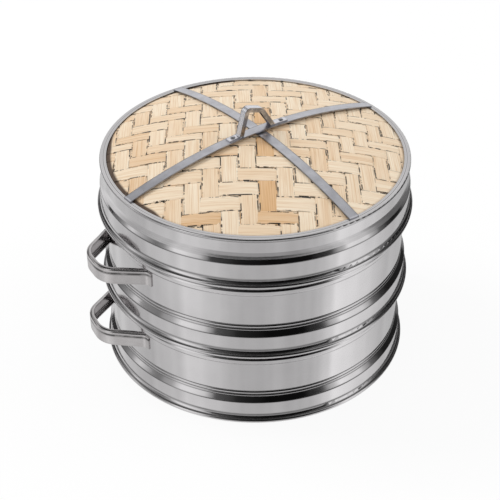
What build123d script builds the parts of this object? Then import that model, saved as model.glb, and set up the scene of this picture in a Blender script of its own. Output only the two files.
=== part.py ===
"""Steamer basket: two steel tiers that stack, and a steel-rimmed lid of woven bamboo.

Every ring is one spun sheet whose skirt slips over the rim of the ring below. A tier rests on
that rim with its shoulder, the lid with its bamboo hoop.
Millimetres, +Z up, origin in the middle of the base.
"""
from build123d import *
from math import acos, cos, sin, radians, hypot, sqrt
import os

# Sheet rings
WALL_R = 150.0  # outside of a tier's wall: a 30 cm steamer
SHEET = 0.8  # steel sheet
SKIRT_R = 154.0  # outside of the skirt that slips over the ring below
SHOULDER_Z = 23.9  # where the skirt ends and the shoulder starts to draw in
SHOULDER_RISE = 4.9  # height of a tier's shoulder
RIM_BEAD_R = 1.7  # tight rolled edge on top of a tier
STACK_GAP = 0.3  # between a ring and the rim it rests on
TIER_PITCH = 83.0  # from one tier's base to the next

# Rolled foot with a wire in it
FOOT_BEAD_R = 2.3
FOOT_BEAD_AT = (155.4, 2.0)  # radius and height of its centre
FOOT_WIRE_R = 1.45
FOOT_TANGENT_DEG = 60.0  # where the sheet leaves the bead
FLARE_FILLET = 4.5

# Beads in a tier's wall
GROOVE_ZS = (31.2, 35.0)  # two grooves that hold the floor plate between them
GROOVE_DEPTH = 1.0
GROOVE_HALF_WIDTH = 1.3
STOP_RIDGE_Z = 73.4  # a ridge just below the foot of the ring above
STOP_RIDGE_OUT = 1.2
STOP_RIDGE_HALF_TOP = 1.8
STOP_RIDGE_HALF_FOOT = 3.6

# Floor plate of a tier
FLOOR_R = 149.0
FLOOR_T = 1.2
FLOOR_Z = 32.5
HOLE_R = 3.0
HOLE_PITCH = 14.0
HOLE_RINGS = 9

# Strap handles of a tier
HANDLE_Z = 60.7
HANDLE_H = 18.0
HANDLE_T = 1.2
HANDLE_LIP = 4.2  # depth of the turned-in edges
HANDLE_EDGE_R = 3.4
HANDLE_OUT_V = 182.0  # outside of the bow, from the axis
HANDLE_BEND_U = 18.5  # corner of the bow, across
HANDLE_BEND_R = 26.0
HANDLE_FOOT_U = 43.5  # where the bow comes down to the wall
TAB_END_U = 48.6  # end of the flat tab that is welded to the wall
TAB_BEND_R = 6.0
TAB_H = 15.0
HANDLE_ANGLES = (3.5, 180.0)  # welded on by eye, not quite opposite

# Lid
LID_SHOULDER = ((SKIRT_R, 25.5), (152.2, 29.3), (151.2, 33.5))  # it eases off towards the band
LID_BAND_R = 151.0
LID_BAND_Z = 36.5
LID_LIP_Z = 48.82  # underside of the rolled rim
LID_RIM_R = 152.6
LID_RIM_Z = 52.12
LID_MOUTH_R = 146.0  # inner edge of the rim's flat
OUTER_MAT_T = 1.5
INNER_MAT_T = 1.0
MAT_GAP = 0.2
MAT_R = 149.9
MAT_EDGE_Z = 50.92  # top of the mat at the rim's inner edge
DOME_RISE = 20.0
HOOP_R = 150.0
HOOP_T = 3.6
HOOP_Z = (25.4, 46.6)  # its lower edge rests on the rim of the tier

# Straps and loop on the lid
STRAP_W = 10.5
STRAP_T = 1.2
STRAP_END_R = 148.4  # spot welded on the inner edge of the rim
STRAP_BEND_R = 146.6
CROSS_STRAP_GAP = 0.3  # between the lower strap and the top of the dome
LONG_STRAP_GAP = 1.2  # between the two straps where they cross
CROSS_STRAP_OFFSET = 4.5  # the lower strap runs a little off the middle
CROSS_STRAP_ANGLE = 88.0  # from the long strap to the lower one
LOOP_W = 7.2
LOOP_T = 1.2
LOOP_LIP = 4.5  # depth of the loop's turned-in edges
LOOP_EDGE_R = 1.8
LOOP_FEET_U = (-20.8, 21.8)
LOOP_TABS_END_U = (-33.0, 37.5)
LOOP_CORNERS = ((-12.9, 29.8), (7.4, 23.0))  # before rounding: along the strap, and up
LOOP_CORNER_RS = (6.0, 8.0)
LOOP_FOOT_R = 1.2
LOOP_SEAT = 0.15  # between a tab and the bowed strap under it

# Rivets
RIVET_R = 1.25
RIVET_HOLE_R = 1.3
RIVET_HEAD_R = 2.4
RIVET_HEAD_H = 1.2
RIVET_TAIL_R = 2.0
RIVET_TAIL_H = 0.6
LOOP_RIVETS_U = (-27.0, 31.5)
RIVET_PLAY = 0.15  # head and tail clear the slope of the bowed strap

# How the stack stands: each ring is turned a little on the one below
UPPER_TURN = 3.5
LID_TURN = 10.0


def seat_height():
    """Height inside a tier at which the rim bead of the tier below comes to its shoulder."""
    run = SKIRT_R - WALL_R
    slant = hypot(run, SHOULDER_RISE)
    away = SHEET + RIM_BEAD_R + STACK_GAP
    in_from_skirt = SKIRT_R - (WALL_R - SHEET + RIM_BEAD_R)
    return SHOULDER_Z + (in_from_skirt * SHOULDER_RISE - away * slant) / run


RIM_Z = TIER_PITCH + seat_height()
UPPER_BASE = TIER_PITCH
CROSS_CREST = MAT_EDGE_Z + DOME_RISE + CROSS_STRAP_GAP
LONG_CREST = CROSS_CREST + STRAP_T + LONG_STRAP_GAP
LID_BASE = UPPER_BASE + RIM_Z + RIM_BEAD_R + STACK_GAP - HOOP_Z[0]


def upright(angle=0.0, base=0.0, aside=0.0):
    """Plane whose x runs out from the axis at an angle and whose y is up."""
    a = radians(angle)
    origin = (-aside * sin(a), aside * cos(a), base)
    return Plane(origin=origin, x_dir=(cos(a), sin(a), 0), z_dir=(sin(a), -cos(a), 0))


def level(angle, height):
    """Plane at a height, whose y points out from the axis at an angle."""
    a = radians(angle)
    return Plane(origin=(0, 0, height), x_dir=(sin(a), -cos(a), 0), z_dir=(0, 0, 1))


def save(piece, name):
    """Name a piece and write it."""
    piece.label = name
    export_step(piece, f"parts/{name}.step")


def foot_points():
    """Outer face of the flared foot, from the rolled bead up to the skirt."""
    r, z = FOOT_BEAD_AT
    a = radians(FOOT_TANGENT_DEG)
    start = (r + FOOT_BEAD_R * cos(a), z + FOOT_BEAD_R * sin(a))
    meet = start[1] + (start[0] - SKIRT_R) * cos(a) / sin(a)
    return [start, (SKIRT_R, meet)]


def tier_points():
    """Outer face of a tier's sheet from foot to rim, and the rounding of each corner."""
    points = foot_points() + [(SKIRT_R, SHOULDER_Z), (WALL_R, SHOULDER_Z + SHOULDER_RISE)]
    radii = [FLARE_FILLET, 1.2, 1.5]
    for z in GROOVE_ZS:
        points += [
            (WALL_R, z - GROOVE_HALF_WIDTH),
            (WALL_R - GROOVE_DEPTH, z),
            (WALL_R, z + GROOVE_HALF_WIDTH),
        ]
        radii += [1.0, 0.8, 1.0]
    ridge_r = WALL_R + STOP_RIDGE_OUT
    for r, dz, bend in (
        (WALL_R, -STOP_RIDGE_HALF_FOOT, 1.2),
        (ridge_r, -STOP_RIDGE_HALF_TOP, 1.4),
        (ridge_r, STOP_RIDGE_HALF_TOP, 1.4),
        (WALL_R, STOP_RIDGE_HALF_FOOT, 1.2),
    ):
        points.append((r, STOP_RIDGE_Z + dz))
        radii.append(bend)
    points.append((WALL_R, RIM_Z))
    return points, radii


def lid_points():
    """Outer face of the lid ring's sheet from foot to the inner edge of its rim."""
    points = foot_points() + [
        *LID_SHOULDER,
        (LID_BAND_R, LID_BAND_Z),
        (LID_BAND_R, LID_LIP_Z),
        (LID_RIM_R, LID_LIP_Z + 0.8),
        (LID_RIM_R, LID_RIM_Z),
        (LID_MOUTH_R, LID_RIM_Z),
    ]
    shoulder_radii = [2.0, 6.0, 8.0, 8.0]
    rim_radii = [0.5, 0.9, 1.2]
    return points, [FLARE_FILLET, *shoulder_radii, *rim_radii]


def spun_section(points, radii):
    """Half section of a spun ring: the sheet on the inner side of its outer face, and the rolled foot."""
    with BuildSketch() as section:
        with BuildLine():
            FilletPolyline(*points, radius=radii)
            offset(amount=SHEET, side=Side.LEFT)
        make_face()
        with Locations(FOOT_BEAD_AT):
            Circle(FOOT_BEAD_R)
            Circle(FOOT_BEAD_R - SHEET, mode=Mode.SUBTRACT)
        with Locations((FOOT_BEAD_AT[0], 0)):
            Rectangle(4 * FOOT_BEAD_R, 2 * FOOT_BEAD_R, align=(Align.CENTER, Align.MAX), mode=Mode.SUBTRACT)
    return section.sketch


def foot_wire(base):
    """Steel wire rolled into the foot of a ring."""
    with BuildPart() as wire:
        with BuildSketch(upright(base=base)):
            with Locations(FOOT_BEAD_AT):
                Circle(FOOT_WIRE_R)
        revolve(axis=Axis.Z)
    return wire.part


def tier_wall(base):
    """Wall, shoulder, skirt and foot of one tier, with its rolled rim."""
    section = spun_section(*tier_points())
    with BuildPart() as wall:
        with BuildSketch(upright(base=base)):
            add(section)
            with Locations((WALL_R - SHEET + RIM_BEAD_R, RIM_Z)):
                Circle(RIM_BEAD_R)
        revolve(axis=Axis.Z)
    return wall.part


def tier_floor(base, turn):
    """Perforated floor plate, held between the two grooves of the wall."""
    with BuildPart() as plate:
        with BuildSketch(level(turn, base + FLOOR_Z)):
            Circle(FLOOR_R)
            Circle(HOLE_R, mode=Mode.SUBTRACT)
            for ring in range(1, HOLE_RINGS + 1):
                with PolarLocations(HOLE_PITCH * ring, 6 * ring):
                    Circle(HOLE_R, mode=Mode.SUBTRACT)
        extrude(amount=FLOOR_T)
    return plate.part


def on_tab(u):
    """Point in plan on the outer face of a handle's tab, a distance across from the handle's middle."""
    return (u, sqrt((WALL_R + HANDLE_T) ** 2 - u**2))


def tier_handle(base, angle):
    """Channel strap bowed out from the wall, with a flat tab at each end welded to the wall."""
    middle = base + HANDLE_Z
    bow_points = [
        on_tab(-HANDLE_FOOT_U),
        (-HANDLE_BEND_U, HANDLE_OUT_V),
        (HANDLE_BEND_U, HANDLE_OUT_V),
        on_tab(HANDLE_FOOT_U),
    ]
    with BuildPart() as handle:
        with BuildLine(level(angle, middle)) as bow:
            FilletPolyline(*bow_points, radius=HANDLE_BEND_R)
        run = bow.line % 0
        with BuildSketch(Plane(origin=bow.line @ 0, x_dir=run.cross(Vector(0, 0, 1)), z_dir=run)):
            with Locations((HANDLE_LIP, 0)):
                RectangleRounded(2 * HANDLE_LIP, HANDLE_H, HANDLE_EDGE_R)
            with Locations((HANDLE_LIP + HANDLE_T, 0)):
                inner_h = HANDLE_H - 2 * HANDLE_T
                RectangleRounded(2 * HANDLE_LIP, inner_h, HANDLE_EDGE_R - HANDLE_T, mode=Mode.SUBTRACT)
            with Locations((HANDLE_LIP, 0)):
                Rectangle(4 * HANDLE_LIP, 2 * HANDLE_H, align=(Align.MIN, Align.CENTER), mode=Mode.SUBTRACT)
        sweep(path=bow.line)
        with BuildSketch(level(angle, middle)):
            with BuildLine():
                FilletPolyline(
                    on_tab(-TAB_END_U),
                    *bow_points,
                    on_tab(TAB_END_U),
                    radius=[TAB_BEND_R, HANDLE_BEND_R, HANDLE_BEND_R, TAB_BEND_R],
                )
                offset(amount=HANDLE_T, side=Side.RIGHT)
            make_face()
        extrude(amount=TAB_H / 2, both=True)
        with Locations((0, 0, middle)):
            Cylinder(WALL_R, 2 * HANDLE_H, mode=Mode.SUBTRACT)
    return handle.part


def make_tier(name, base, turn):
    """All the pieces of one tier."""
    save(tier_wall(base), f"{name}_wall")
    save(foot_wire(base), f"{name}_foot_wire")
    save(tier_floor(base, turn), f"{name}_floor")
    for side, angle in zip(("right", "left"), HANDLE_ANGLES):
        save(tier_handle(base, turn + angle), f"{name}_handle_{side}")


def dome_radius():
    """Radius of the sphere that the top of the outer mat lies on."""
    return (LID_MOUTH_R**2 + DOME_RISE**2) / (2 * DOME_RISE)


def dome_mat(top_drop, thickness):
    """One layer of the domed mat, a distance below the dome's top surface."""
    radius = dome_radius()
    centre = MAT_EDGE_Z + DOME_RISE - radius
    with BuildPart() as mat:
        with BuildSketch(upright(base=LID_BASE)):
            with Locations((0, centre)):
                Circle(radius - top_drop)
                Circle(radius - top_drop - thickness, mode=Mode.SUBTRACT)
            with Locations((0, 0)):
                Rectangle(MAT_R, 2 * radius, align=(Align.MIN, Align.MIN), mode=Mode.INTERSECT)
        revolve(axis=Axis.Z)
    return mat.part


def bowed_strap(angle, crest, aside=0.0):
    """Flat steel strap from rim to rim over the dome; crest is the height of its underside."""
    flat_z = LID_RIM_Z
    with BuildPart() as strap:
        with BuildSketch(upright(angle, LID_BASE, aside)):
            with BuildLine():
                Line((-STRAP_END_R, flat_z), (-STRAP_BEND_R, flat_z))
                ThreePointArc((-STRAP_BEND_R, flat_z), (0, crest), (STRAP_BEND_R, flat_z))
                Line((STRAP_BEND_R, flat_z), (STRAP_END_R, flat_z))
                offset(amount=STRAP_T, side=Side.LEFT)
            make_face()
        extrude(amount=STRAP_W / 2, both=True)
    return strap.part


def loop_rivet_places(angle):
    """Where the loop's rivets stand, in plan."""
    a = radians(angle)
    return [(u * cos(a), u * sin(a)) for u in LOOP_RIVETS_U]


def rivet_set(places, grip):
    """Domed rivets at places, each with the height of the face under its head; grip is what they hold."""
    dome_r = (RIVET_HEAD_R**2 + RIVET_HEAD_H**2) / (2 * RIVET_HEAD_H)
    half = acos((dome_r - RIVET_HEAD_H) / dome_r) / 2
    dome_side = (dome_r * sin(half), RIVET_HEAD_H - dome_r * (1 - cos(half)))
    with BuildPart() as rivets:
        for x, y, seat in places:
            plane = Plane(origin=(x, y, seat), x_dir=(1, 0, 0), z_dir=(0, -1, 0))
            with BuildSketch(plane):
                with BuildLine():
                    Polyline(
                        (0, RIVET_HEAD_H),
                        (0, -grip - RIVET_TAIL_H),
                        (RIVET_TAIL_R, -grip - RIVET_TAIL_H),
                        (RIVET_TAIL_R, -grip),
                        (RIVET_R, -grip),
                        (RIVET_R, 0),
                        (RIVET_HEAD_R, 0),
                    )
                    ThreePointArc((RIVET_HEAD_R, 0), dome_side, (0, RIVET_HEAD_H))
                make_face()
            revolve(axis=Axis((x, y, seat), (0, 0, 1)))
    return rivets.part


def long_strap_bow():
    """Radius of the long strap's underside."""
    rise = LONG_CREST - LID_RIM_Z
    return (STRAP_BEND_R**2 + rise**2) / (2 * rise)


def long_strap_top(u):
    """Height of the long strap's upper face over the lid's base, at a distance from the middle."""
    bow_r = long_strap_bow()
    return LONG_CREST - bow_r + sqrt((bow_r + STRAP_T) ** 2 - u**2)


def carry_loop(angle):
    """Channel strip bent to a leaning arch, with a flat tab at each foot riveted to the strap below."""
    plane = upright(angle, LID_BASE)
    left_foot, right_foot = [(u, long_strap_top(u) + LOOP_SEAT + LOOP_T) for u in LOOP_FEET_U]
    left_tab, right_tab = [(u, long_strap_top(u) + LOOP_SEAT + LOOP_T) for u in LOOP_TABS_END_U]
    corners = [(u, LONG_CREST + STRAP_T + up) for u, up in LOOP_CORNERS]
    with BuildPart() as loop:
        with BuildLine(plane) as bow:
            FilletPolyline(left_foot, *corners, right_foot, radius=LOOP_CORNER_RS)
        run = bow.line % 0
        with BuildSketch(Plane(origin=bow.line @ 0, x_dir=run.cross(plane.z_dir), z_dir=run)):
            with Locations((LOOP_LIP, 0)):
                RectangleRounded(2 * LOOP_LIP, LOOP_W, LOOP_EDGE_R)
            with Locations((LOOP_LIP + LOOP_T, 0)):
                inner_w = LOOP_W - 2 * LOOP_T
                RectangleRounded(2 * LOOP_LIP, inner_w, LOOP_EDGE_R - LOOP_T, mode=Mode.SUBTRACT)
            with Locations((LOOP_LIP, 0)):
                Rectangle(4 * LOOP_LIP, 2 * LOOP_W, align=(Align.MIN, Align.CENTER), mode=Mode.SUBTRACT)
        sweep(path=bow.line)
        with BuildSketch(plane):
            with Locations((0, LONG_CREST - long_strap_bow())):
                Circle(long_strap_bow() + STRAP_T + LOOP_SEAT)
        extrude(amount=LOOP_W, both=True, mode=Mode.SUBTRACT)
        with BuildSketch(plane):
            with BuildLine():
                FilletPolyline(
                    left_tab,
                    left_foot,
                    *corners,
                    right_foot,
                    right_tab,
                    radius=[LOOP_FOOT_R, *LOOP_CORNER_RS, LOOP_FOOT_R],
                )
                offset(amount=LOOP_T, side=Side.RIGHT)
            make_face()
        extrude(amount=LOOP_W / 2, both=True)
        with BuildSketch(Plane.XY.offset(LID_BASE)):
            with Locations(*loop_rivet_places(angle)):
                Circle(RIVET_HOLE_R)
        extrude(amount=LONG_CREST + STRAP_T + LOOP_T + 1.0, mode=Mode.SUBTRACT)
    return loop.part


def make_lid():
    """All the pieces of the lid."""
    long_angle = LID_TURN
    cross_angle = LID_TURN + CROSS_STRAP_ANGLE
    section = spun_section(*lid_points())
    with BuildPart() as lid_ring:
        with BuildSketch(upright(base=LID_BASE)):
            add(section)
        revolve(axis=Axis.Z)
    save(lid_ring.part, "lid_ring")
    save(foot_wire(LID_BASE), "lid_foot_wire")
    save(dome_mat(0.0, OUTER_MAT_T), "lid_outer_mat")
    save(dome_mat(OUTER_MAT_T + MAT_GAP, INNER_MAT_T), "lid_inner_mat")
    with BuildPart() as lid_hoop:
        with BuildSketch(Plane.XY.offset(LID_BASE + HOOP_Z[0])):
            Circle(HOOP_R)
            Circle(HOOP_R - HOOP_T, mode=Mode.SUBTRACT)
        extrude(amount=HOOP_Z[1] - HOOP_Z[0])
        fillet(lid_hoop.edges().filter_by(GeomType.CIRCLE), radius=0.8)
    save(lid_hoop.part, "lid_hoop")

    save(bowed_strap(cross_angle, CROSS_CREST, -CROSS_STRAP_OFFSET), "lid_cross_strap")
    long_strap = bowed_strap(long_angle, LONG_CREST)
    with BuildPart() as lid_long_strap:
        add(long_strap)
        with BuildSketch(Plane.XY.offset(LID_BASE + LID_RIM_Z)):
            with Locations(*loop_rivet_places(long_angle)):
                Circle(RIVET_HOLE_R)
        extrude(amount=2 * DOME_RISE, mode=Mode.SUBTRACT)
    save(lid_long_strap.part, "lid_long_strap")
    save(carry_loop(long_angle), "lid_loop")
    seats = [LID_BASE + long_strap_top(u) + LOOP_SEAT + LOOP_T + RIVET_PLAY for u in LOOP_RIVETS_U]
    places = [(x, y, seat) for (x, y), seat in zip(loop_rivet_places(long_angle), seats)]
    grip = LOOP_T + LOOP_SEAT + STRAP_T + 2 * RIVET_PLAY
    save(rivet_set(places, grip), "lid_loop_rivets")


os.makedirs("parts", exist_ok=True)
make_tier("bottom_tier", 0.0, 0.0)
make_tier("upper_tier", UPPER_BASE, UPPER_TURN)
make_lid()
print("rim height in a tier", round(RIM_Z, 2), "lid base", round(LID_BASE, 2))
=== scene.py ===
"""Looks of the steamer basket: spun steel rings, woven bamboo mats, straps, and a soft studio.

Metres, +Z up, in the same frame as the solids. The mats are woven here, strip by strip.
"""
import math

import bpy
from mathutils import Matrix, Vector


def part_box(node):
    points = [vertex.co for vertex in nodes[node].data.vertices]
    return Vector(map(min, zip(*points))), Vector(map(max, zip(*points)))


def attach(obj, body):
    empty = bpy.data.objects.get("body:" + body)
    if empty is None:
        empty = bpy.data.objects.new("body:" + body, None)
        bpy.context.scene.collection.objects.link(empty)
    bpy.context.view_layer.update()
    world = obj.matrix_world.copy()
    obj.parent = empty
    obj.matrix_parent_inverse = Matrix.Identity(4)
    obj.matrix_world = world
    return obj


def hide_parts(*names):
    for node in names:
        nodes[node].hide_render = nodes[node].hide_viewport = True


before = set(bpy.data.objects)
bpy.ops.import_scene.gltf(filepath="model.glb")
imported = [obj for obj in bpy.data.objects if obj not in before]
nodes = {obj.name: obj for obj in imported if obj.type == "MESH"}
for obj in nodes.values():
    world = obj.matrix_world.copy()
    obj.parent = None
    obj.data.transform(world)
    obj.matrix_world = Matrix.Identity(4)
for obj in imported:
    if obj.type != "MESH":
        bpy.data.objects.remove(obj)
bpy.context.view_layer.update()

MM = 0.001


# ---------------------------------------------------------------- materials

def linear(hex_colour):
    """A colour written as sRGB hex, as the linear values that shaders take."""
    values = [int(hex_colour[i:i + 2], 16) / 255 for i in (1, 3, 5)]
    return [v / 12.92 if v <= 0.04045 else ((v + 0.055) / 1.055) ** 2.4 for v in values] + [1.0]


def grey(level):
    """The sRGB hex of a grey from 0 to 255."""
    return "#" + 3 * f"{round(level):02X}"


def node(tree, kind, inputs=None, stops=(), **settings):
    """Adds a node and gives back its outputs.

    Settings are its properties, inputs are values or outputs of other nodes to link, and stops
    are the places and colours of its ramp.
    """
    made = tree.nodes.new(kind)
    for name, value in settings.items():
        setattr(made, name, value)
    for name, value in (inputs or {}).items():
        socket = made.inputs[name]
        if isinstance(value, bpy.types.NodeSocket):
            tree.links.new(value, socket)
        else:
            socket.default_value = value
    for place, (position, colour) in enumerate(stops):
        elements = made.color_ramp.elements
        element = elements[place] if place < 2 else elements.new(position)
        element.position = position
        element.color = linear(colour)
    return made.outputs


def new_material(name):
    """An empty material and its node tree."""
    material = bpy.data.materials.new(name)
    material.use_nodes = True
    material.node_tree.nodes.clear()
    return material, material.node_tree


def line_stops(lines, span):
    """Stops of a ramp that is black but for some lines.

    A line is its middle and half width in mm, and how strong it is from 0 to 1. The span is where
    the ramp starts and ends, in mm.
    """
    low, high = span
    stops = [(0.0, grey(0)), (1.0, grey(0))]
    for middle, half, share in lines:
        for place, level in ((middle - half, 0), (middle, 255 * share), (middle + half, 0)):
            stops.append(((place - low) / (high - low), grey(level)))
    return stops


# Creases darkened with painted shade and dark reflections: height over the ring's foot, half width, share of
# the dark
TIER_CREASES = (
    (0.6, 0.8, 0.8), (4.4, 0.8, 1.0), (8.4, 1.6, 0.9), (23.9, 0.8, 1.0), (28.9, 0.8, 0.9),
    (31.2, 1.0, 1.0), (35.0, 1.0, 1.0), (69.9, 0.7, 0.7), (77.1, 0.8, 0.9), (80.6, 0.7, 0.7))
LID_CREASES = (
    (0.6, 0.8, 0.8), (4.4, 0.8, 1.0), (8.4, 1.6, 0.9), (25.6, 0.8, 1.0), (29.6, 0.5, 0.5),
    (31.6, 0.4, 0.4), (33.6, 0.4, 0.3), (48.5, 0.8, 1.0), (50.8, 0.6, 0.8))
CREASE_SPAN = (0.0, 120.0)
# Painted shade lines on the flat of the lid's rim, given the same way, by distance from the axis
RIM_SHADE_LINES = ((147.0, 0.5, 0.5), (148.7, 0.6, 0.8), (150.4, 0.5, 0.4))
RIM_SPAN = (140.0, 160.0)
# Grey of the painted shade in the creases and on the rim's flat
CREASE_SHADE_GREY = "#1E1D1D"


def spun_steel(name, foot_mm, creases, rim_shade_lines=()):
    """304 stainless sheet, spun over a form and buffed: a near mirror with faint rings round the axis.

    The creases are darkened with painted shade and dark reflections, broken in patches, and so are
    lines on the flat of the lid's rim. The rings are about 0.1 mm apart on the real sheet and are
    drawn 1.3 mm apart, so that they show. Smears of the buff are about 45 mm long, and the dents of
    the form 30 mm.
    """
    ring_gap, smear, dent = 1.3 * MM, 45 * MM, 30 * MM
    material, tree = new_material(name)
    place = node(tree, "ShaderNodeTexCoord")["Object"]
    axes = node(tree, "ShaderNodeSeparateXYZ", {0: place})
    flat = node(tree, "ShaderNodeCombineXYZ", {0: axes[0], 1: axes[1]})[0]
    out = node(tree, "ShaderNodeVectorMath", {0: flat}, operation="LENGTH")["Value"]
    angle = node(tree, "ShaderNodeMath", {0: axes[1], 1: axes[0]}, operation="ARCTAN2")[0]
    round_about = node(tree, "ShaderNodeCombineXYZ", {
        0: node(tree, "ShaderNodeMath", {0: angle, 1: 0.6}, operation="MULTIPLY")[0],
        1: node(tree, "ShaderNodeMath", {0: out, 1: 1 / ring_gap}, operation="MULTIPLY")[0],
        2: node(tree, "ShaderNodeMath", {0: axes[2], 1: 1 / ring_gap}, operation="MULTIPLY")[0]})[0]
    rings = node(tree, "ShaderNodeTexNoise", {
        "Vector": round_about, "Scale": 1.0, "Detail": 3.0})["Fac"]
    smears = node(tree, "ShaderNodeTexNoise", {
        "Vector": place, "Scale": 1 / smear, "Detail": 4.0})["Fac"]
    low, high = CREASE_SPAN
    height = node(tree, "ShaderNodeMapRange", {
        0: axes[2], 1: (foot_mm + low) * MM, 2: (foot_mm + high) * MM, 3: 0.0, 4: 1.0})[0]
    creased = node(tree, "ShaderNodeValToRGB", {"Fac": height},
                   line_stops(creases, CREASE_SPAN))["Color"]
    if rim_shade_lines:
        low, high = RIM_SPAN
        reach = node(tree, "ShaderNodeMapRange", {0: out, 1: low * MM, 2: high * MM, 3: 0.0, 4: 1.0})[0]
        ringed = node(tree, "ShaderNodeValToRGB", {"Fac": reach},
                      line_stops(rim_shade_lines, RIM_SPAN))["Color"]
        creased = node(tree, "ShaderNodeMath", {0: creased, 1: ringed}, operation="MAXIMUM")[0]
    patchy = node(tree, "ShaderNodeMapRange", {0: smears, 1: 0.3, 2: 0.6, 3: 0.6, 4: 1.0})[0]
    # Painted shade and dark reflections in the creases, broken in patches by the smears
    painted_crease_shade = node(tree, "ShaderNodeMath", {0: creased, 1: patchy},
                 operation="MULTIPLY", use_clamp=True)[0]
    tone = node(tree, "ShaderNodeValToRGB", {"Fac": smears}, [(0.3, "#CDCBCC"), (0.7, "#D7D5D6")])["Color"]
    colour = node(tree, "ShaderNodeMix", {0: painted_crease_shade, 6: tone, 7: linear(CREASE_SHADE_GREY)},
                  data_type="RGBA")[2]
    rough = node(tree, "ShaderNodeMath", {0: smears, 1: 0.10, 2: 0.05}, operation="MULTIPLY_ADD")[0]
    rougher = node(tree, "ShaderNodeMath", {0: painted_crease_shade, 1: 0.3, 2: rough}, operation="MULTIPLY_ADD")[0]
    dents = node(tree, "ShaderNodeTexNoise", {"Vector": place, "Scale": 1 / dent, "Detail": 1.5})["Fac"]
    soft = node(tree, "ShaderNodeBump", {"Height": dents, "Strength": 0.25, "Distance": 0.3 * MM})[0]
    fine = node(tree, "ShaderNodeBump", {
        "Height": rings, "Strength": 0.4, "Distance": 0.04 * MM, "Normal": soft})[0]
    shader = node(tree, "ShaderNodeBsdfPrincipled", {
        "Base Color": colour, "Metallic": 1.0, "Roughness": rougher, "Normal": fine})
    node(tree, "ShaderNodeOutputMaterial", {"Surface": shader[0]})
    return material


# Painted shade along a strip's edges and folds: distance from its middle in mm, half width, share of the dark
HANDLE_LINES = ((-8.3, 0.8, 0.8), (-6.4, 0.8, 0.35), (4.6, 2.2, 1.0), (8.6, 0.5, 0.8))
STRAP_LINES = ((-5.1, 0.7, 0.9), (-3.6, 0.4, 0.2), (3.6, 0.4, 0.2), (5.1, 0.7, 0.9))
LOOP_LINES = ((-3.4, 0.7, 1.0), (-1.4, 0.4, 0.7), (1.4, 0.4, 0.7), (3.4, 0.7, 1.0))
STRIP_SPAN = (-12.0, 12.0)
# Grey of the painted shade along the edges
EDGE_SHADE_GREY = "#2A2828"


def strip_steel(name, colours, roughness, scratch_mm, across=None, lines=()):
    """304 stainless strip, rolled and left satin: fine scratches at all angles over a dull mirror.

    Painted shade and dark reflections lie along its sheared and folded edges, in lines laid across
    the strip: across is the direction over it and where its middle lies, in mm. The metal's patches
    are 14 mm wide.
    """
    patch = 14 * MM
    material, tree = new_material(name)
    place = node(tree, "ShaderNodeTexCoord")["Object"]
    patches = node(tree, "ShaderNodeTexNoise", {
        "Vector": place, "Scale": 1 / patch, "Detail": 5.0, "Roughness": 0.6})["Fac"]
    scratches = node(tree, "ShaderNodeTexNoise", {
        "Vector": place, "Scale": 1 / (scratch_mm * MM), "Detail": 4.0, "Roughness": 0.7})["Fac"]
    colour = node(tree, "ShaderNodeValToRGB", {"Fac": patches},
                  [(0.32, colours[0]), (0.68, colours[1])])["Color"]
    if across:
        direction, middle = across
        low, high = STRIP_SPAN
        over = node(tree, "ShaderNodeVectorMath", {0: place, 1: direction},
                    operation="DOT_PRODUCT")["Value"]
        share = node(tree, "ShaderNodeMapRange", {
            0: over, 1: (middle + low) * MM, 2: (middle + high) * MM, 3: 0.0, 4: 1.0})[0]
        lined = node(tree, "ShaderNodeValToRGB", {"Fac": share}, line_stops(lines, STRIP_SPAN))["Color"]
        broken = node(tree, "ShaderNodeMapRange", {0: patches, 1: 0.38, 2: 0.55, 3: 0.35, 4: 1.0})[0]
        # Painted shade along the edges and folds, broken in patches
        painted_edge_shade = node(tree, "ShaderNodeMath", {0: lined, 1: broken},
                     operation="MULTIPLY", use_clamp=True)[0]
        colour = node(tree, "ShaderNodeMix", {0: painted_edge_shade, 6: colour, 7: linear(EDGE_SHADE_GREY)},
                      data_type="RGBA")[2]
    rough = node(tree, "ShaderNodeMath", {0: scratches, 1: 0.16, 2: roughness},
                 operation="MULTIPLY_ADD")[0]
    bump = node(tree, "ShaderNodeBump", {"Height": patches, "Strength": 0.35, "Distance": 0.2 * MM})[0]
    shader = node(tree, "ShaderNodeBsdfPrincipled", {
        "Base Color": colour, "Metallic": 1.0, "Roughness": rough, "Normal": bump})
    node(tree, "ShaderNodeOutputMaterial", {"Surface": shader[0]})
    return material


# Painted shadow of the steel rim on a mat, in brown: azimuth, and distance from the axis in mm where it
# starts
RIM_SHADOW_STARTS = (
    (0, 150.0), (64, 150.0), (74, 140.6), (94, 141.0), (106, 144.0), (138, 144.0), (152, 139.8),
    (202, 139.8), (218, 150.0), (360, 150.0))
RIM_SHADOW_SPAN = (138.0, 150.0)
RIM_SHADOW_WIDTH = 2.8  # mm over which it darkens
FAINT_RIM_SHADE = (142.5, 146.0)  # mm from the axis over which a weaker painted shade comes up, all the way round
DEEP_SHARE, FAINT_SHARE = 0.95, 0.35  # how much of the brown the painted shadow and the weaker shade reach
RIM_SHADOW_BROWN = "#3E2A1C"


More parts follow.
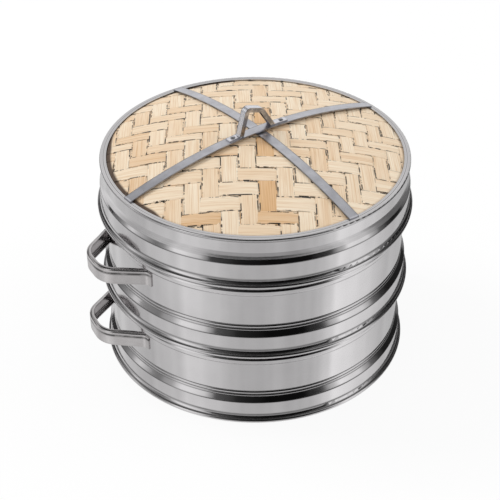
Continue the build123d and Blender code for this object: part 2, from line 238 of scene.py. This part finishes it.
def split_bamboo(name, pale, golden, edge, fibre):
    """Split bamboo, shaved thin and left bare: long fibres, pale pith or golden skin, painted shade at the
    split edges.

    The piece's map holds metres along a strip and across it. Its tone says how golden a strip is,
    and its rim how near a point is to a split edge. Fibre bundles are 1.1 mm wide, twice the real
    width, so that they show. Painted shade lies along the split edges, where the strips meet, in
    dashes about 9 mm long, and darker in some patches of 26 mm than in others. Near the steel rim
    the mat is darkened brown with a painted shadow of the rim.
    """
    fibre_size = (60 * MM, 1.1 * MM)
    band_size = (90 * MM, 6 * MM)
    dash_size = (9 * MM, 20 * MM)
    patch = 26 * MM
    material, tree = new_material(name)
    flat = node(tree, "ShaderNodeUVMap", uv_map="strip")[0]
    fibre_place = node(tree, "ShaderNodeVectorMath", {
        0: flat, 1: (1 / fibre_size[0], 1 / fibre_size[1], 1.0)}, operation="MULTIPLY")[0]
    fibres = node(tree, "ShaderNodeTexNoise", {
        "Vector": fibre_place, "Scale": 1.0, "Detail": 3.0, "Roughness": 0.65})["Fac"]
    band_place = node(tree, "ShaderNodeVectorMath", {
        0: flat, 1: (1 / band_size[0], 1 / band_size[1], 1.0)}, operation="MULTIPLY")[0]
    bands = node(tree, "ShaderNodeTexNoise", {
        "Vector": band_place, "Scale": 1.0, "Detail": 2.0})["Fac"]
    tone = node(tree, "ShaderNodeAttribute", attribute_name="tone")["Fac"]
    uneven = node(tree, "ShaderNodeMapRange", {0: bands, 1: 0.0, 2: 1.0, 3: -0.4, 4: 0.4})[0]
    share = node(tree, "ShaderNodeMath", {0: tone, 1: uneven}, operation="ADD", use_clamp=True)[0]
    body = node(tree, "ShaderNodeValToRGB", {"Fac": share}, [(0.0, pale), (1.0, golden)])["Color"]
    streak = node(tree, "ShaderNodeValToRGB", {"Fac": fibres}, [(0.3, fibre), (0.55, "#FFFFFF")])["Color"]
    fibred = node(tree, "ShaderNodeMix", {0: 0.8, 6: body, 7: streak},
                  data_type="RGBA", blend_type="MULTIPLY")[2]

    rim = node(tree, "ShaderNodeAttribute", attribute_name="rim")["Fac"]
    dash_place = node(tree, "ShaderNodeVectorMath", {
        0: flat, 1: (1 / dash_size[0], 1 / dash_size[1], 1.0)}, operation="MULTIPLY")[0]
    dashes = node(tree, "ShaderNodeTexNoise", {
        "Vector": dash_place, "Scale": 1.0, "Detail": 3.0, "Roughness": 0.7})["Fac"]
    split = node(tree, "ShaderNodeMapRange", {0: rim, 1: 0.85, 2: 0.91, 3: 0.0, 4: 1.0})[0]
    dashed = node(tree, "ShaderNodeMapRange", {0: dashes, 1: 0.47, 2: 0.51, 3: 0.0, 4: 1.0})[0]
    patches = node(tree, "ShaderNodeTexNoise", {"Vector": flat, "Scale": 1 / patch, "Detail": 1.0})["Fac"]
    open_here = node(tree, "ShaderNodeMapRange", {0: patches, 1: 0.42, 2: 0.52, 3: 0.35, 4: 1.0})[0]
    # Painted shade between the strips, in dashes along the split edges
    in_dashes = node(tree, "ShaderNodeMath", {0: split, 1: dashed}, operation="MULTIPLY")[0]
    dark = node(tree, "ShaderNodeMath", {0: in_dashes, 1: open_here}, operation="MULTIPLY")[0]
    lined = node(tree, "ShaderNodeMix", {0: dark, 6: fibred, 7: linear(edge)}, data_type="RGBA")[2]

    # Turned half round, so that the step of the angle lies at azimuth 0, where there is no painted shadow
    turned = node(tree, "ShaderNodeVectorMath", {
        0: node(tree, "ShaderNodeTexCoord")["Object"], 1: (-1.0, -1.0, 0.0)}, operation="MULTIPLY")[0]
    reach = node(tree, "ShaderNodeVectorMath", {0: turned}, operation="LENGTH")["Value"]
    axes = node(tree, "ShaderNodeSeparateXYZ", {0: turned})
    angle = node(tree, "ShaderNodeMath", {0: axes[1], 1: axes[0]}, operation="ARCTAN2")[0]
    azimuth = node(tree, "ShaderNodeMapRange", {0: angle, 1: -math.pi, 2: math.pi, 3: 0.0, 4: 1.0})[0]
    near, far = RIM_SHADOW_SPAN
    stops = [(turn / 360, grey(255 * ((far - begins) / (far - near)) ** (1 / 2.2)))
             for turn, begins in RIM_SHADOW_STARTS]
    inward = node(tree, "ShaderNodeValToRGB", {"Fac": azimuth}, stops)["Color"]
    begins_at = node(tree, "ShaderNodeMath", {0: inward, 1: (near - far) * MM, 2: far * MM},
                     operation="MULTIPLY_ADD")[0]
    past = node(tree, "ShaderNodeMath", {0: reach, 1: begins_at}, operation="SUBTRACT")[0]
    deep = node(tree, "ShaderNodeMapRange", {
        0: past, 1: 0.0, 2: RIM_SHADOW_WIDTH * MM, 3: 0.0, 4: DEEP_SHARE}, interpolation_type="SMOOTHSTEP")[0]
    low, high = FAINT_RIM_SHADE
    faint = node(tree, "ShaderNodeMapRange", {
        0: reach, 1: low * MM, 2: high * MM, 3: 0.0, 4: FAINT_SHARE}, interpolation_type="SMOOTHSTEP")[0]
    # Painted shadow of the rim on the mat: deep on one side, faint all round
    stain = node(tree, "ShaderNodeMath", {0: deep, 1: faint}, operation="MAXIMUM")[0]
    colour = node(tree, "ShaderNodeMix", {0: stain, 6: lined, 7: linear(RIM_SHADOW_BROWN)},
                  data_type="RGBA")[2]
    bump = node(tree, "ShaderNodeBump", {"Height": fibres, "Strength": 0.5, "Distance": 0.15 * MM})[0]
    shader = node(tree, "ShaderNodeBsdfPrincipled", {
        "Base Color": colour, "Roughness": 0.55, "IOR": 1.5, "Normal": bump})
    node(tree, "ShaderNodeOutputMaterial", {"Surface": shader[0]})
    return material


def bent_lath(name):
    """A thick bamboo lath bent to a ring: fibres 0.9 mm wide run round it under a waxy skin."""
    grain_width = 0.9 * MM
    material, tree = new_material(name)
    place = node(tree, "ShaderNodeTexCoord")["Object"]
    axes = node(tree, "ShaderNodeSeparateXYZ", {0: place})
    angle = node(tree, "ShaderNodeMath", {0: axes[1], 1: axes[0]}, operation="ARCTAN2")[0]
    grain_place = node(tree, "ShaderNodeCombineXYZ", {
        0: node(tree, "ShaderNodeMath", {0: angle, 1: 3.0}, operation="MULTIPLY")[0],
        1: node(tree, "ShaderNodeMath", {0: axes[2], 1: 1 / grain_width}, operation="MULTIPLY")[0]})[0]
    grain = node(tree, "ShaderNodeTexNoise", {
        "Vector": grain_place, "Scale": 1.0, "Detail": 4.0, "Roughness": 0.6})["Fac"]
    colour = node(tree, "ShaderNodeValToRGB", {"Fac": grain}, [(0.35, "#9C7648"), (0.65, "#D2AE78")])["Color"]
    bump = node(tree, "ShaderNodeBump", {"Height": grain, "Strength": 0.4, "Distance": 0.2 * MM})[0]
    shader = node(tree, "ShaderNodeBsdfPrincipled", {
        "Base Color": colour, "Roughness": 0.45, "Normal": bump})
    node(tree, "ShaderNodeOutputMaterial", {"Surface": shader[0]})
    return material


def side_of(degrees):
    """The level direction over a strap that runs at this azimuth."""
    return (-math.sin(math.radians(degrees)), math.cos(math.radians(degrees)), 0.0)


def foot_of(name):
    """Height in mm of a node's lowest point."""
    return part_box(name)[0].z / MM


def middle_of(name):
    """Height in mm of the middle of a node."""
    low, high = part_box(name)
    return (low.z + high.z) / 2 / MM


LONG_STRAP_AT = (side_of(10.0), 0.0)  # the long strap, and the loop on it
CROSS_STRAP_AT = (side_of(98.0), -4.5)  # the lower strap runs 4.5 mm to the left of the axis
STRAP_TONES = ("#BCBCC2", "#D6D6DC")

finish_of = {
    "bottom_tier_wall": spun_steel("buffed_spun_stainless_bottom", 0.0, TIER_CREASES),
    "upper_tier_wall": spun_steel("buffed_spun_stainless_upper", foot_of("upper_tier_wall"), TIER_CREASES),
    "lid_ring": spun_steel("buffed_spun_stainless_lid", foot_of("lid_ring"), LID_CREASES, RIM_SHADE_LINES),
    "floor": strip_steel("satin_stainless_plate", ("#B9B9BB", "#C6C6C8"), 0.24, 1.0),
    "wire": strip_steel("drawn_stainless_wire", ("#ADADAF", "#BDBDBF"), 0.25, 2.0),
    "lid_long_strap": strip_steel(
        "rolled_stainless_long_strap", STRAP_TONES, 0.22, 1.0, LONG_STRAP_AT, STRAP_LINES),
    "lid_cross_strap": strip_steel(
        "rolled_stainless_cross_strap", STRAP_TONES, 0.22, 1.0, CROSS_STRAP_AT, STRAP_LINES),
    "lid_loop": strip_steel(
        "polished_stainless_strip", ("#E8E8EE", "#F4F4FA"), 0.16, 1.4, LONG_STRAP_AT, LOOP_LINES),
    "rivets": strip_steel("headed_stainless_rivet", ("#A8A8AC", "#C6C6CA"), 0.2, 0.8),
    "hoop": bent_lath("bent_bamboo_lath")}
for tier in ("bottom", "upper"):
    handle_steel = strip_steel(
        f"satin_stainless_handle_{tier}", ("#C8C4C4", "#D4D1D1"), 0.14, 1.2,
        ((0, 0, 1), middle_of(f"{tier}_tier_handle_left")), HANDLE_LINES)
    for side in ("right", "left"):
        finish_of[f"{tier}_tier_handle_{side}"] = handle_steel
# Each mat's fourth colour is the painted shade between its strips
mat_bamboo = split_bamboo("shaved_split_bamboo", "#F0E0C8", "#DBB384", "#1F1C1A", "#E6CEB0")
lining_bamboo = split_bamboo("rough_split_bamboo", "#CFAE80", "#B38A57", "#3A2C20", "#B08A60")

# A node takes the finish of its own name, or else that of its last word
for name, solid in nodes.items():
    material = finish_of.get(name) or finish_of.get(name.rsplit("_", 1)[-1])
    if material:
        solid.data.materials.clear()
        solid.data.materials.append(material)


# ---------------------------------------------------------------- woven mats

# The weave lies square to the view in the photograph, a little out of true
WEAVE_TURN = math.radians(-27.2)
LEAN = math.tan(math.radians(1.9))  # the lengthwise strips lean this much
MAT_EDGE_R = 149.6  # mm: strips end here, under the steel rim
SIDE_R = 149.0  # mm: no strip's side lies further out
RIM_MOUTH_R = 146.0  # mm
MAT_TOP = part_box("lid_outer_mat")[1].z / MM  # crest of the dome
DOME_RISE = 20.0  # mm
DOME_R = (RIM_MOUTH_R ** 2 + DOME_RISE ** 2) / (2 * DOME_RISE)
STEPS_ALONG = 108  # faces of a strip along its run
STEPS_ACROSS = 6
HALF_SLOPE = 2.6  # mm: half the run in which a strip changes from over to under
WOBBLE = 0.35  # mm that a hand-split edge wanders
CROWN = 0.10  # mm that the middle of a strip stands over its edges
PALE_FROM, PALE_RUN = 20.0, 70.0  # mm: past this place the skin pales to half over this run
MERGE_UNDER = 0.00002  # m
SMOOTH_UNDER = math.radians(50)


def dome_height(x, y, below):
    """Height of the dome in mm, a distance below its top face."""
    return MAT_TOP - DOME_R + math.sqrt((DOME_R - below) ** 2 - x * x - y * y)


def wander(place, seed):
    """Slow wobble of a hand-split edge, in mm."""
    return WOBBLE * (math.sin(place / 23.0 + seed * 1.7) + 0.6 * math.sin(place / 9.1 + seed * 4.1)) / 1.6


def smooth_step(t):
    """0 up to 0, 1 from 1 on, and a soft rise between."""
    t = min(max(t, 0.0), 1.0)
    return t * t * (3 - 2 * t)


def lift_at(place, cuts, over):
    """+1 where a strip runs over the strips it crosses, -1 where it runs under, with a slope between."""
    for k in range(len(cuts) - 1):
        if cuts[k] <= place < cuts[k + 1]:
            here = 1.0 if over(k) else -1.0
            for beside, past in ((k - 1, place - cuts[k]), (k + 1, cuts[k + 1] - place)):
                if past < HALF_SLOPE:
                    there = 1.0 if over(beside) else -1.0
                    return there + (here - there) * smooth_step(0.5 + past / (2 * HALF_SLOPE))
            return here
    return -1.0


def keep_inside(along, aside):
    """A point past the mat's edge, pulled back along its strip to the edge."""
    if math.hypot(along, aside) > MAT_EDGE_R:
        aside = max(min(aside, SIDE_R), -SIDE_R)
        along = math.copysign(math.sqrt(MAT_EDGE_R ** 2 - aside * aside), along)
    return along, aside


def weave_strip(name, low, high, cuts, over, lengthwise, tone, weave, seed):
    """One strip between low and high across its run, shaped over and under the strips it crosses.

    Its skin pales towards the end that is far or right in the photograph. The shape is made by
    placing the points of a grid, because no operator gives it.
    """
    bpy.ops.object.select_all(action="DESELECT")
    bpy.ops.mesh.primitive_grid_add(x_subdivisions=STEPS_ALONG, y_subdivisions=STEPS_ACROSS, size=2.0)
    piece = bpy.context.active_object
    piece.name = name
    mesh = piece.data
    mesh.uv_layers[0].name = "strip"
    turn = Matrix.Rotation(WEAVE_TURN, 3, "Z")
    flat, rims, tones = [], [], []
    for vertex in mesh.vertices:
        s = vertex.co.x * MAT_EDGE_R
        v = vertex.co.y
        half_width = (high - low - weave["gap"]) / 2 + wander(s, seed + (0.5 if v > 0 else 0.0))
        t = (low + high) / 2 + v * half_width
        s, aside = keep_inside(s, t - LEAN * s if lengthwise else t)
        x, y = (aside, s) if lengthwise else (s, aside)
        z = dome_height(x, y, weave["below"]) + weave["lift"] * lift_at(s, cuts, over) + CROWN * (1 - v * v)
        flat.append((s * MM + seed * 0.37, (t - low) * MM + seed * 0.113))
        rims.append(abs(v))
        tones.append(tone * (1.0 - 0.5 * smooth_step((s - PALE_FROM) / PALE_RUN)))
        vertex.co = turn @ Vector((x * MM, y * MM, z * MM))
    for loop in mesh.loops:
        mesh.uv_layers["strip"].data[loop.index].uv = flat[loop.vertex_index]
    for key, values in (("tone", tones), ("rim", rims)):
        mesh.attributes.new(key, "FLOAT", "POINT").data.foreach_set("value", values)
    bpy.ops.object.mode_set(mode="EDIT")
    bpy.ops.mesh.select_all(action="SELECT")
    bpy.ops.mesh.remove_doubles(threshold=MERGE_UNDER)
    bpy.ops.object.mode_set(mode="OBJECT")
    shell = piece.modifiers.new("thickness", "SOLIDIFY")
    shell.thickness = weave["thickness"] * MM
    shell.offset = 0.0
    bpy.ops.object.modifier_apply(modifier=shell.name)
    bpy.ops.object.shade_smooth_by_angle(angle=SMOOTH_UNDER)
    return piece


def woven_mat(name, cuts_along, cuts_across, tones_along, tones_across, weave, material):
    """A mat of two sets of strips, each over two and under two, one strip further on in each row."""
    def long_on_top(i, k):
        return (k + weave["shift"] - i) % 4 in (0, 1)

    pieces = []
    for i, (low, high) in enumerate(zip(cuts_along, cuts_along[1:])):
        pieces.append(weave_strip(
            f"{name}_strip", low, high, cuts_across, lambda k, i=i: long_on_top(i, k), True,
            tones_along[i % len(tones_along)], weave, weave["seed"] + i))
    for k, (low, high) in enumerate(zip(cuts_across, cuts_across[1:])):
        pieces.append(weave_strip(
            f"{name}_strip", low, high, cuts_along, lambda i, k=k: not long_on_top(i, k), False,
            tones_across[k % len(tones_across)], weave, weave["seed"] + 40 + k))
    bpy.ops.object.select_all(action="DESELECT")
    for piece in pieces:
        piece.select_set(True)
    bpy.context.view_layer.objects.active = pieces[0]
    bpy.ops.object.join()
    mat = bpy.context.active_object
    mat.name = name
    mat.data.materials.clear()
    mat.data.materials.append(material)
    return mat


# Where one strip ends and the next begins, in mm from the middle: hand-split strips are uneven
lengthwise_cuts = [
    -148.5, -137.0, -121.5, -104.5, -87.0, -69.5, -52.5, -35.5, -18.0, -0.5, 17.0, 34.0, 50.5, 67.5,
    81.5, 96.0, 111.5, 126.5, 141.0, 148.5]
crosswise_cuts = [
    -148.5, -131.0, -115.5, -96.0, -76.5, -57.0, -39.0, -22.0, -7.0, 6.0, 21.0, 39.0, 55.0, 71.0,
    89.0, 108.0, 126.0, 143.0, 148.5]
# How golden each strip is: 0 is pale pith, 1 is skin
lengthwise_tones = [
    0.3, 0.15, 0.5, 0.1, 0.35, 0.15, 0.35, 0.1, 0.3, 0.95, 0.2, 0.05, 0.4, 0.35, 0.2, 0.25, 0.3,
    0.15, 0.3]
crosswise_tones = [
    0.3, 0.75, 0.15, 0.1, 0.3, 0.1, 0.55, 0.4, 0.2, 0.5, 0.2, 0.3, 0.45, 0.2, 0.3, 0.2, 0.3, 0.2]
# Of a weave in mm: the gap between strips, how far below the dome's top face its middle lies, how
# far a strip goes over and under it, and a strip's thickness. The shift moves the pattern along.
outer_weave = {"gap": 1.0, "below": 0.75, "lift": 0.32, "thickness": 0.5, "shift": 3, "seed": 1}
inner_weave = {"gap": 0.8, "below": 2.2, "lift": 0.22, "thickness": 0.36, "shift": 2, "seed": 90}

outer_mat = woven_mat("woven_outer_mat", lengthwise_cuts, crosswise_cuts, lengthwise_tones,
                      crosswise_tones, outer_weave, mat_bamboo)
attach(outer_mat, "lid")
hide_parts("lid_outer_mat")

coarse_cuts = [-148.5] + [-132.0 + 22.0 * i for i in range(13)] + [148.5]
inner_mat = woven_mat("woven_inner_mat", coarse_cuts, coarse_cuts, [0.4, 0.7, 0.3], [0.5, 0.2, 0.6],
                      inner_weave, lining_bamboo)
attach(inner_mat, "lid")
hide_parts("lid_inner_mat")


# ---------------------------------------------------------------- studio

CAMERA_SIDE = -117.5  # azimuth of the camera; the cards count theirs from it, to its right
CARD_STRENGTH = 1.15  # what a card's #FFFFFF shows in the steel
CARD_OUT = 6.0  # m: so far that a point of the steel sees a card by its slope alone
FLOOR_SIZE = 12.0  # m
FLOOR_WHITE = 0.9  # share of plain white in the floor; the rest keeps the shadow
ROOM_LEVEL = 0.62  # how bright the room lights the object; the camera and the steel see 1
OBJECT_MIDDLE = Vector((0, 0, 0.12))


def grey_by_azimuth(name, stops):
    """A card's greys, which change round the table: each stop is an azimuth and a level to 255."""
    material, tree = new_material(name)
    place = node(tree, "ShaderNodeTexCoord")["Object"]
    turned = node(tree, "ShaderNodeMapping", {
        "Vector": place, "Rotation": (0, 0, -math.radians(CAMERA_SIDE))})[0]
    axes = node(tree, "ShaderNodeSeparateXYZ", {0: turned})
    azimuth = node(tree, "ShaderNodeMath", {0: axes[1], 1: axes[0]}, operation="ARCTAN2")[0]
    share = node(tree, "ShaderNodeMapRange", {0: azimuth, 1: -math.pi, 2: math.pi, 3: 0.0, 4: 1.0})[0]
    folds = node(tree, "ShaderNodeTexNoise", {
        "Vector": node(tree, "ShaderNodeCombineXYZ", {0: azimuth})[0], "Scale": 5.0, "Detail": 2.0})["Fac"]
    moved = node(tree, "ShaderNodeMapRange", {0: folds, 1: 0.3, 2: 0.7, 3: -0.01, 4: 0.01})[0]
    read = node(tree, "ShaderNodeMath", {0: share, 1: moved}, operation="ADD")[0]
    greys = [((turn + 180) / 360, grey(level)) for turn, level in stops]
    shown = node(tree, "ShaderNodeValToRGB", {"Fac": read}, greys)["Color"]
    creased = node(tree, "ShaderNodeMapRange", {0: folds, 1: 0.3, 2: 0.7, 3: 0.9, 4: 1.08})[0]
    strength = node(tree, "ShaderNodeMath", {0: creased, 1: CARD_STRENGTH}, operation="MULTIPLY")[0]
    glow = node(tree, "ShaderNodeEmission", {"Color": shown, "Strength": strength})
    node(tree, "ShaderNodeOutputMaterial", {"Surface": glow[0]})
    return material


def paper(name):
    """White paper: it keeps a faint shadow, and shows white to the camera. From below it isn't there."""
    material, tree = new_material(name)
    path = node(tree, "ShaderNodeLightPath")
    seen = node(tree, "ShaderNodeMath", {0: path["Is Camera Ray"], 1: path["Is Glossy Ray"]},
                operation="MAXIMUM")[0]
    share = node(tree, "ShaderNodeMath", {0: seen, 1: FLOOR_WHITE}, operation="MULTIPLY")[0]
    shader = node(tree, "ShaderNodeBsdfPrincipled", {
        "Base Color": linear("#FDFDFD"), "Roughness": 0.9, "Specular IOR Level": 0.0})
    glow = node(tree, "ShaderNodeEmission", {"Color": linear("#FFFFFF"), "Strength": 1.0})
    both = node(tree, "ShaderNodeMixShader", {0: share, 1: shader[0], 2: glow[0]})[0]
    below = node(tree, "ShaderNodeNewGeometry")["Backfacing"]
    open_below = node(tree, "ShaderNodeMixShader", {
        0: below, 1: both, 2: node(tree, "ShaderNodeBsdfTransparent")[0]})
    node(tree, "ShaderNodeOutputMaterial", {"Surface": open_below[0]})
    return material


def softbox(name, place, size, power):
    """A square soft lamp turned to the object's middle."""
    lamp = bpy.data.lights.new(name, "AREA")
    lamp.shape = "SQUARE"
    lamp.size = size
    lamp.energy = power
    holder = bpy.data.objects.new(name, lamp)
    bpy.context.scene.collection.objects.link(holder)
    holder.location = place
    holder.rotation_euler = (OBJECT_MIDDLE - Vector(place)).to_track_quat("-Z", "Y").to_euler()
    holder.visible_glossy = False


def card(name, low, high, stops):
    """A card bent all round the table, seen only in the steel, between two angles over the table."""
    (foot_out, foot_up), (top_out, top_up) = [
        (CARD_OUT * math.cos(math.radians(tilt)), CARD_OUT * math.sin(math.radians(tilt)))
        for tilt in (low, high)]
    bpy.ops.object.select_all(action="DESELECT")
    bpy.ops.mesh.primitive_cone_add(
        vertices=180, radius1=foot_out, radius2=top_out, depth=top_up - foot_up,
        end_fill_type="NOTHING", location=(0, 0, (foot_up + top_up) / 2))
    made = bpy.context.active_object
    made.name = name
    bpy.ops.object.transform_apply(location=True)
    made.data.materials.append(grey_by_azimuth(f"{name}_greys", stops))
    made.visible_camera = False
    made.visible_diffuse = False
    made.visible_shadow = False


bpy.ops.object.select_all(action="DESELECT")
bpy.ops.mesh.primitive_plane_add(size=FLOOR_SIZE, location=(0, 0, 0))
floor = bpy.context.active_object
floor.name = "studio_floor"
floor.data.materials.append(paper("white_paper_floor"))
floor.visible_glossy = False  # the steel shows the cards that hang round the table, below it too

softbox("back_left_softbox", (-1.5, 1.7, 2.4), 1.3, 46)
softbox("front_right_softbox", (2.2, -0.9, 2.2), 1.8, 22)

world = bpy.data.worlds.new("pale_room")
bpy.context.scene.world = world
world.use_nodes = True
sky = world.node_tree
sky.nodes.clear()
path = node(sky, "ShaderNodeLightPath")
seen = node(sky, "ShaderNodeMath", {0: path["Is Camera Ray"], 1: path["Is Glossy Ray"]},
            operation="MAXIMUM")[0]
seen = node(sky, "ShaderNodeMath", {0: seen, 1: path["Is Transmission Ray"]}, operation="MAXIMUM")[0]
strength = node(sky, "ShaderNodeMath", {0: seen, 1: 1.0 - ROOM_LEVEL, 2: ROOM_LEVEL},
                operation="MULTIPLY_ADD")[0]
paper_sky = node(sky, "ShaderNodeBackground", {"Color": linear("#FFFFFF"), "Strength": strength})
node(sky, "ShaderNodeOutputWorld", {"Surface": paper_sky[0]})

# The walls show this card: a pale room with white panels at -130, -50 and 70, and a shade at 155
card("table_card", -70, -30, (
    (-180, 195), (-160, 195), (-130, 212), (-95, 195), (-90, 195), (-50, 232), (-10, 195),
    (45, 195), (70, 250), (120, 200), (155, 180), (180, 195)))
card("edge_card", -30, -8, (
    (-180, 205), (-154, 195), (-140, 225), (-114, 225), (-98, 190), (-84, 180), (-60, 205),
    (-48, 225), (-30, 180), (-12, 165), (30, 160), (50, 190), (64, 235), (80, 215), (92, 140),
    (108, 105), (138, 110), (154, 170), (180, 205)))
card("low_card", -8, 20, (
    (-180, 225), (-150, 205), (-138, 60), (-112, 50), (-100, 150), (-90, 235), (-78, 170),
    (-68, 110), (-60, 200), (-50, 255), (-38, 220), (-28, 70), (-10, 30), (10, 16), (36, 18),
    (50, 60), (58, 190), (66, 250), (80, 240), (90, 110), (104, 30), (138, 40), (150, 205),
    (180, 225)))
card("middle_card", 20, 46, (
    (-180, 222), (-140, 215), (-118, 190), (-104, 235), (-88, 150), (-72, 130), (-60, 220),
    (-50, 255), (-38, 230), (-28, 90), (-12, 40), (10, 14), (36, 16), (50, 60), (58, 200),
    (66, 250), (82, 230), (94, 90), (116, 50), (134, 200), (150, 215), (180, 222)))
card("hood_card", 46, 84, (
    (-180, 200), (-162, 185), (-146, 70), (-110, 60), (-70, 70), (-58, 190), (-44, 190), (-32, 70),
    (0, 50), (40, 60), (58, 190), (76, 190), (90, 70), (124, 70), (140, 190), (180, 200)))


# ---------------------------------------------------------------- camera

# Fitted to the outlines in the photograph
CAMERA_PLACE = (-0.4704, -0.9042, 0.8375)
CAMERA_LOOK = (0.3697, 0.7193, -0.5882)
LENS, SENSOR = 87.1, 36.0  # mm

camera_data = bpy.data.cameras.new("photo_camera")
camera = bpy.data.objects.new("photo_camera", camera_data)
bpy.context.scene.collection.objects.link(camera)
camera.location = CAMERA_PLACE
camera.rotation_mode = "QUATERNION"
camera.rotation_quaternion = Vector(CAMERA_LOOK).to_track_quat("-Z", "Y")
camera_data.lens = LENS
camera_data.sensor_width = SENSOR
bpy.context.scene.camera = camera
bpy.context.scene.view_settings.view_transform = "Standard"
